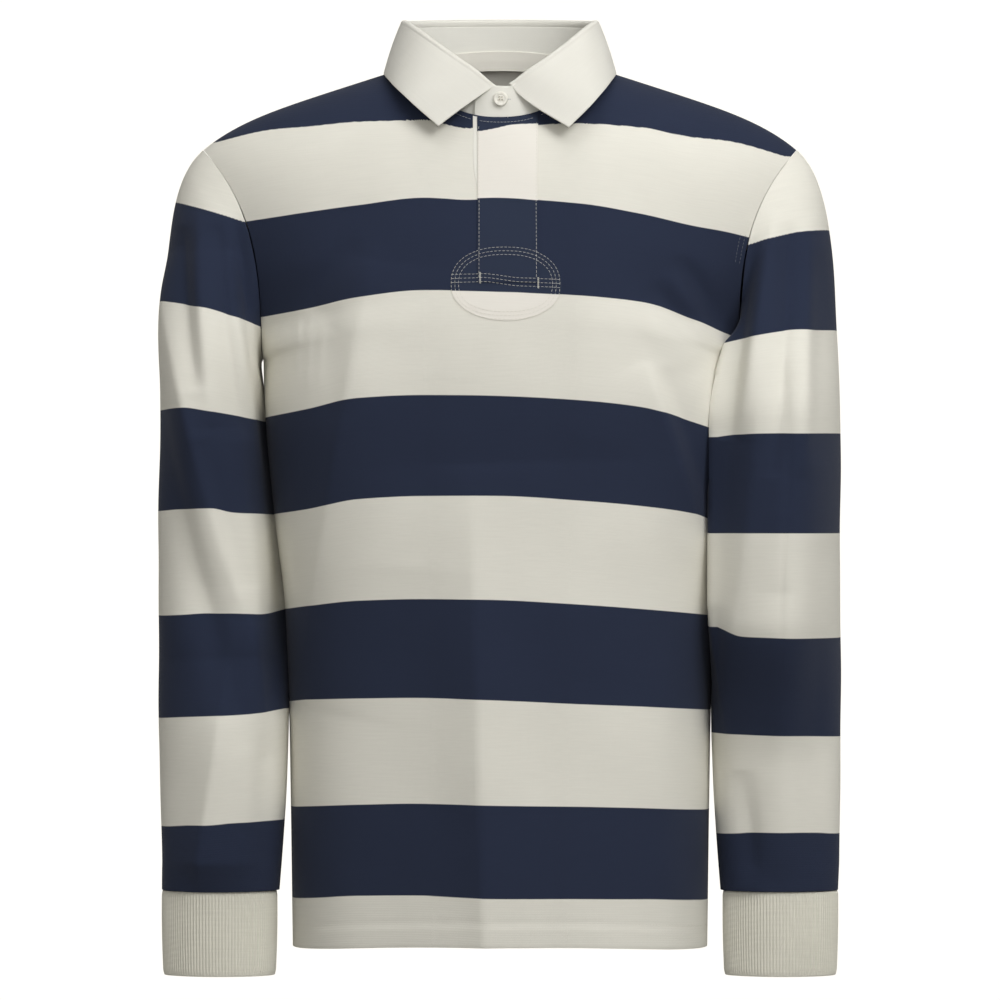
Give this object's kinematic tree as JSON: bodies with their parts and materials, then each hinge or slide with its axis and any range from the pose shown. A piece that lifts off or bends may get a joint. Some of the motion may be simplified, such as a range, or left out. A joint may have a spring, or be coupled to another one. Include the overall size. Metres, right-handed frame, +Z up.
{
  "type": "polo shirt",
  "caption": "Long-sleeved rugby-style polo shirt in wide navy and cream stripes with twill collar, hidden-button placket and rib cuffs, filled out and hollow.",
  "frame": {"origin": "midway between the two sides of the neck seam, at the height where the shirt hangs on the shoulders", "axes": "+Z up, the front faces -Y, +X is the wearer's left"},
  "size_m": [0.5428, 0.2437, 0.7661],
  "materials": {
    "striped_jersey": "heavy cotton jersey in wide navy and cream stripes, matt",
    "rib_knit": "cream rib knit, matt",
    "collar_twill": "cream cotton twill, pressed, matt",
    "placket_twill": "striped cotton strip with topstitching, matt",
    "neck_tape": "cream cotton tape, matt",
    "button": "off-white polished button"
  },
  "bodies": {
    "root": {"front": "striped_jersey", "back": "striped_jersey", "sleeve_left": "striped_jersey", "sleeve_right": "striped_jersey", "cuff_left": "rib_knit", "cuff_right": "rib_knit", "collar_stand": "collar_twill", "collar_leaf": "collar_twill", "placket_top": "placket_twill", "placket_under": "collar_twill", "placket_patch": "placket_twill", "neck_tape": "neck_tape", "neck_facing": "neck_tape", "button": "button"}
  },
  "joints": []
}
